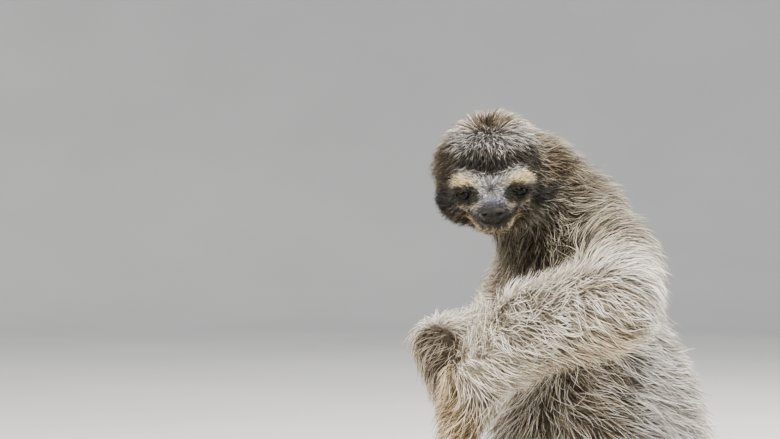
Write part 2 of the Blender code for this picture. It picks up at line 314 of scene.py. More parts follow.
def head_zones(local):
    """Masks of the head's markings, of its painted shade and of a painted highlight, from places in the
    head's frame.
    """
    side, front, up = local.T
    wide = np.abs(side)
    ahead = ease(front, 16, 24)
    mask_top = 4.8 + 2.6 * hill((wide - 16) / 7) - 8 * ease(wide, 20, 30)
    stripe_top = -1.4 - 0.36 * np.clip(wide - 22, 0, 13) + 2 * ease(wide, 38, 44)
    stripe_low = -11.5 - 0.62 * np.clip(wide - 21, 0, 15) + 4 * ease(wide, 36, 44)
    stripe_end = 48.5 + 0.8 * (up + 3.7)
    slit = MOUTH_AT + MOUTH_CURVE * side**2
    lips_low = slit - 4.0 + 0.006 * side**2
    away, rise = wide - EYE_AT[0], up - EYE_AT[2]
    eye_x = away * math.cos(LID_SLANT) + rise * math.sin(LID_SLANT)
    eye_y = -away * math.sin(LID_SLANT) + rise * math.cos(LID_SLANT)
    ring = np.hypot((away + 0.2) / EYE_PATCH[0], (rise + 0.1) / EYE_PATCH[1])
    rim = ahead * hill((ring - 1.15) / 0.12) * ease(away, 8, 5) * ease(away, -10.5, -7)
    over_eye = ease(rise, -1.0, 2.0) * ease(away, -9, -3)
    under_eye = 0.9 * ease(rise, -2.5, -4.0)
    nose_at = np.hypot(side / 10.5, (up - NOSE_AT[2] + 0.6) / 5.6)
    nose_skin = (side / BARE_NOSE[0]) ** 2 + ((up - NOSE_AT[2] + 0.8) / BARE_NOSE[1]) ** 2
    mask = ahead * ease(up, mask_top + 2.4, mask_top - 1.8) * ease(wide, 33, 22)
    mask = mask * ease(up, lips_low - 1, lips_low + 1)
    patch = ahead * ease(ring, 1.12, 0.92)
    # painted shade: the animal's right temple and jaw are darkened, for the shadow cast over that side of
    # the head
    shaded_temple = ease(side, -19, -28) * ease(up, 31, 17)
    shaded_jaw = ease(side, -15, -21) * ease(up, -10, -13)
    return {
        "mask": mask,
        "band": ease(up, mask_top - 1.5, mask_top + 1.5) * ease(up, 21, 14)
        * ease(wide, 38, 28) * ease(front, 8, 17),
        "silver": ease(up, 14, 20.5) * ease(up, 33, 27) * ease(front, -8, 10) * ease(wide, 36, 30),
        "crown": ease(up, 27, 33),
        "temple": ease(wide, 21, 29) * ease(up, 26, 12) * ease(front, -26, -12),
        "brow": mask * ahead * hill((wide - 18.5) / 7.0, (up - 2.2 - 0.05 * away) / 3.6),
        "glow": ahead * hill(away / 7.5, (rise - 6.9) / 2.2),
        "gold": rim * np.clip(over_eye + under_eye, 0, 1),
        "patch": patch,
        # painted shade: the animal's right eye patch, darkened further with the stripe's tint
        "painted_shade_patch": patch * ease(side, -8, -14),
        "stripe": ease(wide, 19, 22) * ease(wide, stripe_end + 1, stripe_end - 2) * ease(front, -2, 8)
        * ease(up, stripe_top + 1, stripe_top - 1) * ease(up, stripe_low - 1.2, stripe_low + 1.2),
        # painted highlight: bluish sheen on the hair over the top of the nose
        "painted_nose_highlight": ahead * hill((side - 1.2) / 5.4, (up + 11.2) / 2.8),
        "snout": ahead * np.exp(-(np.hypot(side / 20, (up + 14.5) / 5.5) ** 3)),
        "shade": np.maximum(shaded_temple, shaded_jaw) * ease(front, -10, 8),
        "whorl": ahead * hill(side / 2.5, (up + 2.5) / 2.3),
        "muzzle": ahead * ease(nose_at, 1.25, 0.75),
        "lips": ease(up, lips_low - 0.4, lips_low + 0.5) * ease(up, slit + 3.2, slit + 1.2)
        * ease(wide, 17.5, 14.5) * ease(front, 28, 34),
        "tan": ease(front, 20, 27) * ease(wide, 21, 15) * ease(up, lips_low - 0.8, lips_low - 1.8)
        * ease(up, lips_low - 5.0, lips_low - 3.4),
        "cheek": ease(up, -12.5, -18) * ease(wide, 14, 21) * ease(front, 0, 8),
        "chin": ease(up, lips_low - 3.8, lips_low - 5.4) * ease(front, 5, 15) * ease(wide, 25, 17),
        "lid": ease(np.hypot(eye_x / LID[0], eye_y / LID[1]), 1.25, 1.0) * ahead,
        "eye_x": eye_x,
        "eye_y": eye_y,
        "slit": slit,
        "front": ahead,
        "bare": np.maximum(
            ease(nose_skin, 1.15, 0.85) * ease(front, 40, 44),
            ease(np.hypot(eye_x / BARE_LID[0], eye_y / BARE_LID[1]), 1.15, 0.95) * ahead,
        ),
    }


def crown_tuft(local):
    return np.clip(1.6 * hill((local[:, 0] - 1) / 9, (local[:, 1] - 6) / 12), 0, 1)


def ruff_zone(skin, parts, local):
    """Where the neck's node reaches into the side of the face."""
    wide = np.abs(local[:, 0])
    edge = 42 + 0.69 * (local[:, 2] + 3.7)
    near = ease(local[:, 1], -14, -4) * ease(wide, edge + 4, edge)
    return skin.smoothed(parts_are(parts, "neck"), 3) * near * ease(wide, 26, 31)


def coat_maps(skin, parts):
    """The coat's depth, length, width and density over the skin, and the head's share and zones."""
    maps = np.zeros((len(parts), 4))
    for number, node in enumerate(FLESH):
        name = max((n for n in COAT if node.startswith(n)), key=len)
        maps[parts == number] = COAT[name]
    maps = skin.smoothed(maps, 14)
    local = to_head(skin.points)
    zones = head_zones(local)
    head = skin.smoothed(parts_are(parts, "head", "ear"), 4)
    areas = {
        "front": head * ease(local[:, 1], 2, 20),
        "face": head * np.clip(zones["mask"] + zones["patch"] + zones["gold"] + zones["lips"] * 1.5, 0, 1),
        "muzzle": head * zones["front"] * ease(np.hypot(local[:, 0], local[:, 2] + 15), 17, 11),
        "chin": head * zones["chin"],
        "cheek": head * zones["cheek"] * 0.8,
        "tuft": head * zones["crown"] * crown_tuft(local),
        "ruff": ruff_zone(skin, parts, local),
    }
    for area, share in areas.items():
        maps = blend(maps, np.array(AREA_COAT[area]), share)
    maps[:, 3] *= 1 - head * zones["bare"]
    maps[:, 3] *= 1 - 0.35 * head * zones["lips"]
    return skin.smoothed(maps, 2), head, zones


LID_RADIUS = 6.35
SOCKET_RADIUS = 5.5
LID_OPENING = (4.6, 2.4)  # half its width and height
NOSE_BED = (6.7, 2.65)


def dome(radius, spread):
    """How far to the front a ball round the eye's middle reaches, at this distance from its axis."""
    return EYE_AT[1] + np.sqrt(np.maximum(radius**2 - spread**2, 0))


def sculpt_face(points, head):
    """Lids, orbits, mouth and nose bed, moved forwards or back in the head's frame."""
    local = to_head(points)
    side, front, up = local.T
    zones = head_zones(local)
    wide = np.abs(side)
    ahead = head * ease(front, 24, 30)
    spread = np.hypot(wide - EYE_AT[0], up - EYE_AT[2])
    front = front + ahead * 1.2 * hill((wide - 17) / 8, (up - 1.5) / 3.0)
    lid = np.maximum(dome(LID_RADIUS, spread), front - 0.6)
    front = blend(front, lid, ahead * ease(spread, 8.5, 5.0))
    front = front - ahead * 0.5 * hill((spread - 6.6) / 0.7)
    opening = (zones["eye_x"] / LID_OPENING[0]) ** 2 + (zones["eye_y"] / LID_OPENING[1]) ** 2
    front = blend(front, dome(SOCKET_RADIUS, spread) - 1.3, ahead * ease(opening, 1.06, 0.94))
    above = up - zones["slit"]
    groove = 1.3 * hill(above / 0.75) * ease(wide, 17.5, 14)
    lips = 0.7 * hill((above - 1.9) / 1.5) + 0.9 * hill((above + 2.2) / 1.6)
    front = front + head * ease(front, 30, 38) * (lips * ease(wide, 17, 12) - groove)
    up = up - 2.4 * head * ease(up, -19, -25) * ease(front, 10, 28)
    nose_bed = (side / NOSE_BED[0]) ** 2 + ((up - NOSE_AT[2] + 0.3) / NOSE_BED[1]) ** 2
    front = front - ahead * 2.2 * ease(nose_bed, 1.15, 0.7) * ease(front, 40, 44)
    return from_head(columns(side, front, up))


# --- lie of the coat ---

JOINTS = {
    "left": {
        "shoulder": (36, 20, 306), "elbow": (111, 68, 282),
        "wrist": (24, 109, 239), "knuckles": (14, 117, 200),
        "hip": (46, 14, 66), "knee": (80, 80, 112),
        "ankle": (64, 120, 29), "toes": (58, 164, 13),
    },
    "right": {
        "shoulder": (-36, 20, 306), "elbow": (-124, 4, 241),
        "wrist": (-45, 96, 255), "knuckles": (-15, 97, 215),
        "hip": (-46, 14, 66), "knee": (-82, 78, 108),
        "ankle": (-68, 122, 29), "toes": (-64, 166, 13),
    },
}
BONES = {
    "upper_arm": ("shoulder", "elbow"), "forearm": ("wrist", "elbow"), "hand": ("wrist", "knuckles"),
    "thigh": ("hip", "knee"), "shank": ("knee", "ankle"), "foot": ("ankle", "toes"),
}
# How much a part's hair follows the bone, hangs, and leans to the animal's back.
LEAN = {
    "upper_arm": (0.25, 0.5, 0.9), "forearm": (1.0, 0.45, 0.0), "hand": (1.0, 0.15, 0.0),
    "thigh": (0.35, 0.7, 0.6), "shank": (0.55, 0.4, 0.35), "foot": (1.0, 0.0, 0.0),
}


def swirl(skin, rounds, turn_by):
    """A smooth random turn of the lie at each point, of about turn_by radians."""
    wave = skin.smoothed(RNG.normal(0, 1, len(skin.points)), rounds)
    return wave / wave.std() * turn_by


def head_flow(local):
    """The way that the head's hair lies, before it is brought along the skin."""
    side, front, up = local.T
    zones = head_zones(local)
    sign = np.tanh(side / 4)
    wide = np.abs(side)
    back = columns(0.45 * sign, -1.0, -0.45)
    fringe = unit(columns(1.25 * side, front - 7 - 0.3 * wide, 0.9 * (up - 38)))
    whorl = columns(side, -0.25 * wide, up + 2.3)
    whorl /= np.linalg.norm(whorl[:, ::2], axis=1, keepdims=True) + 1.5
    cheek = columns(0.7 * sign, -0.9, -0.55)
    beard = columns(0.5 * sign, -0.8, -0.9)
    smile = columns(sign, -0.4, 0.25 + 0.02 * wide)
    way = blend(back, fringe, ease(front, -25, 0) * ease(up, -5, 8))
    way = blend(way, cheek, ease(up, 6, -2) * ease(wide, 20, 28))
    way = blend(way, whorl, np.clip(zones["mask"] * 1.4, 0, 1))
    way = blend(way, smile, zones["tan"])
    way = blend(way, beard, zones["chin"])
    return head_dir(unit(way))


def flow_field(skin, parts, head):
    """The way that hair lies at each point of the skin, along its surface."""
    place = to_animal(skin.points)
    way = np.zeros_like(skin.points)
    down = np.array([0, 0, -1.0])
    rearward = animal_dir([0, -1, 0])
    for side, joints in JOINTS.items():
        for part, (start, end) in BONES.items():
            bone = unit(animal_dir(np.subtract(joints[end], joints[start])))
            along, hang, lean = LEAN[part]
            chosen = parts_are(parts, f"{part}_{side}")
            way[chosen] = bone * along + down * hang + rearward * lean
    drape = parts_are(parts, "hand_right")
    way[drape] = way[drape] * 0.2 + np.array([-0.55, 0.0, -0.8])
    core = parts_are(parts, "trunk", "neck")
    axis_front = np.interp(place[:, 2], (230, 300, 350), (5, 22, 46))
    angle = np.arctan2(place[:, 0], place[:, 1] - axis_front)
    around = animal_dir(columns(np.cos(angle), -np.sin(angle), 0)) * np.sign(angle)[:, None]
    bend = np.sin(np.abs(angle)) ** 0.8 * 1.1 * ease(np.abs(angle), 0.05, 0.5)
    way[core] = (down + around * bend[:, None])[core]
    neck = parts_are(parts, "neck")
    beside = ease(np.abs(angle), 0.5, 1.3)[:, None]
    way[neck] = (down * (1 - 0.45 * beside) + rearward * (0.25 + 0.95 * beside))[neck]
    way[parts_are(parts, "tail")] = animal_dir([0.1, -1, -0.3])
    chosen = parts_are(parts, "head", "ear")
    way[chosen] = head_flow(to_head(skin.points[chosen]))

    def tangent(vectors):
        flat = vectors - skin.normals * (vectors * skin.normals).sum(1)[:, None]
        return unit(flat)

    way = tangent(way)
    sharp = way.copy()
    for _ in range(6):
        way = tangent(skin.smoothed(way, 4))
    keep = np.clip(head * ease(to_head(skin.points)[:, 1], 0, 14), 0, 1)
    way = tangent(blend(way, tangent(skin.smoothed(sharp, 2)), keep))
    angle = (swirl(skin, 60, 0.26) + swirl(skin, 8, 0.22)) * (1 - 0.8 * keep)
    across = np.cross(skin.normals, way)
    return way * np.cos(angle)[:, None] + across * np.sin(angle)[:, None]


# --- colours ---

# Each tint is (light hair, dark hair), linear.
TINTS = {
    "body": ((0.78, 0.72, 0.61), (0.034, 0.025, 0.016)),
    "saddle": ((0.42, 0.375, 0.29), (0.022, 0.017, 0.0115)),
    "belly": ((0.96, 0.875, 0.72), (0.10, 0.076, 0.050)),
    # pale flank fur, made paler still as painted sunlight on the sides
    "flank": ((0.97, 0.95, 0.92), (0.16, 0.14, 0.12)),
    "forearm": ((0.98, 0.93, 0.83), (0.18, 0.145, 0.105)),
    "wrist": ((0.98, 0.93, 0.83), (0.40, 0.33, 0.24)),
    "gold": ((0.74, 0.60, 0.38), (0.085, 0.058, 0.029)),
    # painted shade: the animal's right arm is darker all round, for the shadow that falls on it
    "right": ((0.47, 0.40, 0.31), (0.048, 0.036, 0.024)),
    "crown": ((0.66, 0.60, 0.49), (0.026, 0.019, 0.012)),
    "tuft": ((0.135, 0.082, 0.040), (0.009, 0.006, 0.0035)),
    # painted shade: darkens the animal's right temple and jaw, for the shadow over that side of the head
    "shade": ((0.070, 0.053, 0.033), (0.010, 0.0075, 0.005)),
    "silver": ((0.51, 0.495, 0.485), (0.032, 0.028, 0.025)),
    "temple": ((0.21, 0.16, 0.10), (0.014, 0.010, 0.006)),
    "band": ((0.068, 0.061, 0.052), (0.009, 0.008, 0.0065)),
    "mask": ((0.70, 0.70, 0.705), (0.046, 0.045, 0.045)),
    "brow": ((0.95, 0.83, 0.52), (0.38, 0.29, 0.14)),
    "ochre": ((0.70, 0.55, 0.30), (0.16, 0.11, 0.05)),
    "patch": ((0.062, 0.055, 0.044), (0.015, 0.0135, 0.011)),
    "stripe": ((0.040, 0.038, 0.034), (0.0075, 0.007, 0.006)),
    # painted highlight: the bluish sheen over the top of the nose
    "painted_nose_highlight": ((0.165, 0.172, 0.34), (0.050, 0.053, 0.135)),
    "snout": ((0.30, 0.30, 0.31), (0.040, 0.039, 0.040)),
    "muzzle": ((0.070, 0.063, 0.056), (0.014, 0.012, 0.011)),
    "lips": ((0.080, 0.070, 0.052), (0.020, 0.017, 0.013)),
    "tan": ((0.52, 0.39, 0.23), (0.11, 0.070, 0.037)),
    "cheek": ((0.28, 0.25, 0.185), (0.021, 0.018, 0.013)),
    "chin": ((0.17, 0.13, 0.08), (0.014, 0.010, 0.006)),
}
# Over the head's ground, in the order laid: (tint, zone, strength). The shade layer and the darkened right
# eye patch are painted shade, and the blue layer over the nose is a painted highlight.
HEAD_LAYERS = (
    ("band", "band", 1), ("mask", "mask", 1), ("brow", "brow", 1.1), ("ochre", "glow", 0.75),
    ("stripe", "whorl", 0.9), ("cheek", "cheek", 1), ("chin", "chin", 1), ("shade", "shade", 0.92),
    ("snout", "snout", 0.88), ("painted_nose_highlight", "painted_nose_highlight", 0.9), ("muzzle", "muzzle", 0.9), ("tan", "tan", 0.9),
    ("ochre", "gold", 0.75), ("stripe", "stripe", 1), ("patch", "patch", 1), ("stripe", "painted_shade_patch", 0.6),
    ("lips", "lips", 1),
)


def markings(points, shares):
    """Light and dark hair colours at these places. shares gives each part's share there."""
    light, dark = (np.tile(tint, (len(points), 1)) for tint in TINTS["body"])

    def lay(name, share):
        nonlocal light, dark
        share = np.clip(share, 0, 1)
        light = blend(light, np.array(TINTS[name][0]), share)
        dark = blend(dark, np.array(TINTS[name][1]), share)

    side, front, height = to_animal(points).T
    wide = np.abs(side)
    angle = np.abs(np.degrees(np.arctan2(side, front - 5)))
    trunk, neck, head = shares["trunk"], shares["neck"], shares["head"]
    upper_arm, forearm, hand = shares["upper_arm"], shares["forearm"], shares["hand"]
    lay("belly", trunk * ease(angle, 84, 62) * ease(height, 300, 240))
    behind = 1 - 0.5 * ease(angle, 105, 140)
    # the flanks are paler: partly their own pale fur, partly painted sunlight
    lay("flank", trunk * ease(angle, 66, 92) * (0.5 + 0.5 * ease(height, 280, 220)) * behind)
    blots = np.sin(side * 0.10 + 1.0) * np.sin(height * 0.085 + 0.4)
    blots = blots + 0.6 * np.sin(side * 0.05 - height * 0.13)
    lay("saddle", trunk * ease(angle, 125, 150) * ease(blots, 0.1, -0.7) * 0.8)
    lay("saddle", trunk * ease(angle, 158, 172) * 0.8)
    lay("saddle", neck + trunk * ease(height, 270, 300))
    # painted shade: the neck is darkened further, for the shade under the head and between the neck and the
    # arms
    lay("temple", neck * 0.32)
    lay("saddle", upper_arm * ease(wide, 100, 60))
    lay("flank", upper_arm * ease(wide, 70, 115) * 0.45)
    lay("forearm", forearm + hand * 0.8 + shares["foot"] * 0.5)
    # painted shade: the whole right arm is darkened, for the shadow that falls on it
    lay("right", (upper_arm + forearm + hand) * ease(side, 2, -12))
    lay("belly", (shares["thigh"] + shares["shank"]) * 0.45)
    for name, joints in JOINTS.items():
        is_left = name == "left"
        wrist, elbow = np.array(joints["wrist"]), np.array(joints["elbow"])
        offset = columns(side, front, height) - wrist
        bone = unit(elbow - wrist)
        along = offset @ bone
        across = offset - np.outer(along, bone)
        own = ease(side if is_left else -side, -8, 2)
        near_wrist = ease(along, 60, 20)
        lay("wrist", forearm * near_wrist * is_left)
        # painted light: the forearm's underside turns gold, for the glow of backlit hair along that edge
        backlit_underside = ease(across[:, 2], -4, -20) * forearm
        lay("gold", backlit_underside * own * (0.75 - 0.4 * near_wrist))
        lay("gold", (hand + forearm) * own * ease(along, 12, -12) * 0.95 * is_left)
    local = to_head(points)
    zones = head_zones(local)
    wide = np.abs(local[:, 0])
    # the neck's hair along the sides of the face is darker: the head's brown carried on, and painted shadow
    # along the head's edge
    ruff = neck * ease(local[:, 1], -14, -4) * ease(wide, 24, 29)
    lay("temple", ruff * ease(wide, 62, 50) * ease(local[:, 2], -7, -3) * ease(local[:, 2], 24, 8) * 0.95)
    lay("crown", head)
    lay("temple", head * zones["temple"] * 0.85)
    lay("silver", head * zones["silver"] * 0.95 * (1 - 0.8 * zones["temple"]))
    lay("tuft", head * zones["crown"] * crown_tuft(local))
    for tint, zone, strength in HEAD_LAYERS:
        ground = head + ruff if zone == "stripe" else head
        lay(tint, ground * zones[zone] * strength)
    return light, dark


# --- hair ---

ROOT_DEPTH = 0.6 * MM  # under the skin
CLUMP_EVERY = 5
PATCH = 0.003  # of the map, for each hair
SIDES = 3
MOST_TRIANGLES = 195_000
FLOOR = 0.6 * MM  # no hair's middle goes lower


class Roots:
    """Where hairs grow: each root's three skin points, their shares, and its place on the unwrap."""

    def __init__(self, skin, density, corner_uv):
        one, two, three = (skin.points[skin.triangles[:, k]] for k in range(3))
        area = np.linalg.norm(np.cross(two - one, three - one), axis=1) / 2
        weight = area * 1e4 * density[skin.triangles].mean(1)
        total = np.cumsum(weight)
        count = int(total[-1])
        picks = (np.arange(count) + RNG.random(count)) / count * total[-1]
        triangle = np.searchsorted(total, picks)
        first, second = RNG.random((2, count))
        swap = first + second > 1
        first[swap], second[swap] = 1 - first[swap], 1 - second[swap]
        self.share = np.stack([1 - first - second, first, second], 1)
        self.corners = skin.triangles[triangle]
        self.uv = (corner_uv[triangle] * self.share[..., None]).sum(1)
        order = RNG.permutation(count)
        self.share, self.corners, self.uv = self.share[order], self.corners[order], self.uv[order]

    def at(self, values):
        """A map of the skin's points, read at the roots."""
        shares = self.share if values.ndim == 1 else self.share[..., None]
        return (values[self.corners] * shares).sum(1)


class Groom:
    """Grows hairs from roots over the skin."""

    def __init__(self, skin, flow, maps):
        self.skin, self.flow, self.maps = skin, flow, maps
        local = to_head(skin.points)
        self.crown = crown_tuft(local) * ease(local[:, 2], 22, 30)
        self.tree = tree_of(skin.points)

    def nearest(self, points):
        find = self.tree.find
        return np.fromiter((find(p)[1] for p in points), int, len(points))

    def march(self, start, normal, hair, rings):
        """Centre points (hair, ring, 3) of hairs that lie along the skin and rise to their height."""
        step = hair["length"] / (rings - 1)
        path = [start - normal * ROOT_DEPTH]
        point, heading = start.copy(), hair["way"]
        for k in range(1, rings):
            part = k / (rings - 1)
            near = self.nearest(point)
            skin_normal = self.skin.normals[near]
            heading = unit(heading * 0.45 + self.flow[near] * 0.55)
            side = np.cross(skin_normal, heading)
            bend = hair["sway"] + hair["curl"] * (part - 0.4)
            move = heading + side * bend[:, None] - np.array([0, 0, 1]) * (hair["droop"] * part)[:, None]
            move = unit(move + skin_normal * (hair["stand"] * 1.6)[:, None])
            point = point + move * step[:, None]
            near = self.nearest(point)
            skin_normal = self.skin.normals[near]
            above = ((point - self.skin.points[near]) * skin_normal).sum(1)
            goal = hair["height"] * part**0.62
            fix = (goal - above) * (1 - hair["stand"])
            fix = np.clip(fix, -step * 0.9, step * 0.9) + hair["flick"] * part**3
            point = point + skin_normal * fix[:, None]
            path.append(point)
        return np.stack(path, 1)


def clumps(start):
    """The hair that leads the clump of each hair, and how far away it is."""
    leaders = np.arange(0, len(start), CLUMP_EVERY)
    tree = tree_of(start[leaders])
    found = [tree.find(p) for p in start]
    return leaders[[f[1] for f in found]], np.array([f[2] for f in found])


def hair_shape(path, normal, width, colours, uv):
    """Closed, tapering three-sided hairs: points, corners, face sizes, colours, UVs."""
    count, rings = path.shape[:2]
    ahead = unit(np.gradient(path, axis=1))
    side = unit(np.cross(ahead, normal[:, None]))
    above = np.cross(side, ahead)
    body = rings - 1
    part = np.linspace(0, 1, rings)[:-1]
    taper = (0.9 + 0.35 * part) * (1 - part**1.7)
    sections = []
    for k in range(SIDES):
        angle = 2 * math.pi * k / SIDES + math.pi / 2
        reach = side[:, :body] * math.cos(angle) + above[:, :body] * math.sin(angle) * 0.7
        sections.append(path[:, :body] + reach * (width[:, None] * taper / 2)[..., None])
    points = np.concatenate([np.stack(sections, 2).reshape(count, body * SIDES, 3), path[:, -1:]], 1)
    faces = [tuple(range(SIDES))[::-1]]
    for ring in range(body - 1):
        low, high = ring * SIDES, (ring + 1) * SIDES
        faces += [(low + k, low + (k + 1) % SIDES, high + (k + 1) % SIDES, high + k) for k in range(SIDES)]
    last = (body - 1) * SIDES
    faces += [(last + k, last + (k + 1) % SIDES, body * SIDES) for k in range(SIDES)]
    corners = np.concatenate(faces)[None] + (np.arange(count) * points.shape[1])[:, None]
    spots = np.stack([
        np.concatenate([np.tile(np.arange(SIDES) / SIDES, body), [0.5]]),
        np.concatenate([np.repeat(part, SIDES), [1.0]]),
    ], 1)
    patch = uv[:, None] + (spots[None] - 0.5) * PATCH
    return {
        "points": points.reshape(-1, 3),
        "corners": corners.ravel(),
        "sizes": np.tile([len(face) for face in faces], count),
        "colours": np.concatenate([np.repeat(colours[:, :-1], SIDES, 1), colours[:, -1:]], 1).reshape(-1, 3),
        "uv": patch.reshape(-1, 2)[corners.ravel()],
    }


def triangles_per_hair(rings):
    return (rings - 2) * SIDES * 2 + SIDES + SIDES - 2


def coat_piece(name, shapes):
    starts = np.cumsum([0] + [len(shape["points"]) for shape in shapes])
    whole = {key: np.concatenate([shape[key] for shape in shapes]) for key in shapes[0] if key != "corners"}
    corners = np.concatenate([shape["corners"] + first for shape, first in zip(shapes, starts)])
    mesh = bpy.data.meshes.new(name)
    mesh.vertices.add(len(whole["points"]))
    mesh.vertices.foreach_set("co", whole["points"].astype(np.float32).ravel())
    mesh.loops.add(len(corners))
    mesh.loops.foreach_set("vertex_index", corners.astype(np.int32))
    mesh.polygons.add(len(whole["sizes"]))
    firsts = np.concatenate([[0], np.cumsum(whole["sizes"])[:-1]])
    mesh.polygons.foreach_set("loop_start", firsts.astype(np.int32))
    mesh.update(calc_edges=True)
    mesh.shade_smooth()
    paint(mesh, whole["colours"])
    layer = mesh.uv_layers.new(name="OFBake")
    layer.data.foreach_set("uv", np.clip(whole["uv"], 0, 1).astype(np.float32).ravel())
    finish_piece(new_object(name, mesh), coat_material())


def paint(mesh, colours):
    layer = mesh.attributes.new("Coat", "FLOAT_COLOR", "POINT")
    rgba = np.concatenate([colours, np.ones((len(colours), 1))], 1)
    layer.data.foreach_set("color", rgba.astype(np.float32).ravel())


def hair_plan(groom, roots, start):
    """What each hair is to be: lengths in metres, angles in radians, shares of 1."""
    depth, length, width, _ = roots.at(groom.maps).T
    count = len(depth)
    rank = RNG.random(count) ** 0.8
    leader, away = clumps(start)
    crown = groom.crown[roots.corners].mean(1)
    stray = (RNG.random(count) < 0.03) & (length > 15)
    length = length * MM * (0.6 + 0.5 * RNG.random(count)) * (0.8 + 0.25 * rank) * np.where(stray, 1.3, 1)
    flick = RNG.exponential(0.05, count) * depth * MM
    return {
        "rank": rank,
        "way": unit(roots.at(groom.flow) + crown[:, None] * RNG.normal(0, 0.7, (count, 3))),
        "width": width * MM * (0.7 + 0.45 * rank) * (0.85 + 0.3 * RNG.random(count)),
        "length": length,
        "height": depth * MM * (0.28 + 0.82 * rank) * (0.95 + 0.16 * RNG.random(count)),
        "sway": RNG.normal(0, 0.22, count) * np.where(stray, 3, 1) + RNG.normal(0, 0.18, count)[leader],
        "curl": RNG.normal(0, 0.62, count) + RNG.normal(0, 0.35, count)[leader],
        "droop": np.clip((length / MM - 14) / 60, 0, 0.5),
        "stand": np.clip(crown * 0.75 + stray * 0.16, 0, 0.85),
        "flick": flick + stray * 0.35 * depth * MM,
        "leader": leader,
        "tint": RNG.normal(0, 0.16, count)[leader],
        "pull": np.clip(RNG.normal(0.2, 0.2, count), 0, 0.7)[leader] * hill(away / (length * 0.35)),
    }


def grow_coat(groom, roots, shares):
    """All hairs, in pieces named by part, each under the limit of triangles."""
    start, normal = roots.at(groom.skin.points), unit(roots.at(groom.skin.normals))
    hair = hair_plan(groom, roots, start)
    groups = assign_groups(roots, shares, start)
    length, rank = hair["length"] / MM, hair["rank"]
    rings = np.where((length < 6.5) | (rank < 0.35), 3, np.where((length < 10) | (rank < 0.8), 4, 5))
    grown = {}
    for kind in (3, 4, 5):
        picked = np.flatnonzero(rings == kind)
        path = groom.march(start[picked], normal[picked], {k: v[picked] for k, v in hair.items()}, kind)
        place = np.full(len(start), -1)
        place[picked] = np.arange(len(picked))
        leader = place[hair["leader"][picked]]
        follows = leader >= 0
        share = np.where(follows, hair["pull"][picked], 0)[:, None] * np.linspace(0, 1, kind) ** 1.3
        path = path + (path[leader] - path) * share[..., None]
        path[..., 2] = np.maximum(path[..., 2], FLOOR)
        near = groom.nearest(path[:, -2])
        blur = np.where(length[picked] < 5.5, 0.6, 1.5)[:, None] * MM
        seen_at = path[:, -2] + RNG.normal(0, 1, (len(picked), 3)) * blur
        light, dark = markings(seen_at, {part: values[near] for part, values in shares.items()})
        unlucky = np.where(length[picked] < 13, 0.22, 0.13)
        colours = hair_colours(light, dark, rank[picked] + hair["tint"][picked], unlucky, kind)
        grown[kind] = (picked, path, colours)
    for group in sorted(set(groups)):
        total = sum(triangles_per_hair(kind) * ((groups == group) & (rings == kind)).sum() for kind in grown)
        pieces = math.ceil(total / MOST_TRIANGLES)
        for number in range(pieces):
            shapes = []
            for picked, path, colours in grown.values():
                chosen = np.flatnonzero(groups[picked] == group)[number::pieces]
                own = picked[chosen]
                shapes.append(hair_shape(
                    path[chosen], normal[own], hair["width"][own], colours[chosen], roots.uv[own]
                ))
            coat_piece(f"coat_{group}_{number + 1}", shapes)


def hair_colours(light, dark, rank, unlucky, rings):
    """Colours (hair, ring, 3): dark at the root, and light or dark by the hair's rank and luck."""
    count = len(rank)
    # painted shade in the coat: hairs of low rank, which lie lower under the others, are darker
    tone = np.clip(RNG.normal(0.16 + 0.80 * rank, 0.22), 0, 1.08)
    tone = np.where(RNG.random(count) < unlucky, tone * 0.3, tone)
    colour = dark * (light / dark) ** tone[:, None]
    colour *= np.exp(RNG.normal(0, 0.10, (count, 1)))
    # darker towards the root: partly the fur's own darker bases, partly painted shade deep in the coat
    shade = np.interp(np.linspace(0, 1, rings), [0, 0.3, 0.7, 1], [0.28, 0.68, 1.04, 1.14])
    return np.clip(colour[:, None] * shade[None, :, None], 0, 0.92)


def assign_groups(roots, shares, start):
    """The piece of the coat that each hair goes to."""
    side, front, _ = to_animal(start).T
    arm, leg = (roots.at(sum(shares[part] for part in limb)) for limb in (ARM, LEG))
    head, trunk = roots.at(shares["head"]), roots.at(shares["trunk"])
    ahead = ease(to_head(start)[:, 1], 10, 12)
    left = side > 0
    scores = {
        "face": head * ahead, "head": head * (1 - ahead), "neck": roots.at(shares["neck"]),
        "back": trunk * (front < 5), "belly": trunk * (front >= 5),
        "arm_left": arm * left, "arm_right": arm * ~left,
        "leg_left": leg * left, "leg_right": leg * ~left, "tail": roots.at(shares["tail"]),
    }
    return np.array(list(scores))[np.stack(list(scores.values())).argmax(0)]


# --- materials ---

_made = {}


def node_material(name, build, **settings):
    """A Principled material, made once. build adds its nodes."""
    if name not in _made:
        material = bpy.data.materials.new(name)
        material.use_nodes = True
        shader = material.node_tree.nodes["Principled BSDF"]
        for key, value in settings.items():
            shader.inputs[key.replace("_", " ")].default_value = value
        build(material.node_tree, shader)
        _made[name] = material
    return _made[name]


def add(tree, kind, links=None, **settings):
    node = tree.nodes.new(kind)
    for key, value in settings.items():
        if hasattr(node, key):
            setattr(node, key, value)
        else:
            node.inputs[key.replace("_", " ")].default_value = value
    for socket, source in (links or {}).items():
        tree.links.new(source, node.inputs[socket])
    return node


def ramp(tree, source, stops):
    node = add(tree, "ShaderNodeValToRGB", {"Fac": source})
    elements = node.color_ramp.elements
    elements.remove(elements[1])
    elements[0].position, elements[0].color = stops[0][0], (*stops[0][1], 1.0)
    for place, colour in stops[1:]:
        elements.new(place).color = (*colour, 1.0)
    return node.outputs["Color"]


def two_tone(tree, source, dark, light, stops=(0.3, 0.7)):
    return ramp(tree, source, ((stops[0], dark), (stops[1], light)))


def feed(tree, shader, **sources):
    """Links each source to the shader's socket of that name."""
    for key, source in sources.items():
        tree.links.new(source, shader.inputs[key.replace("_", " ")])


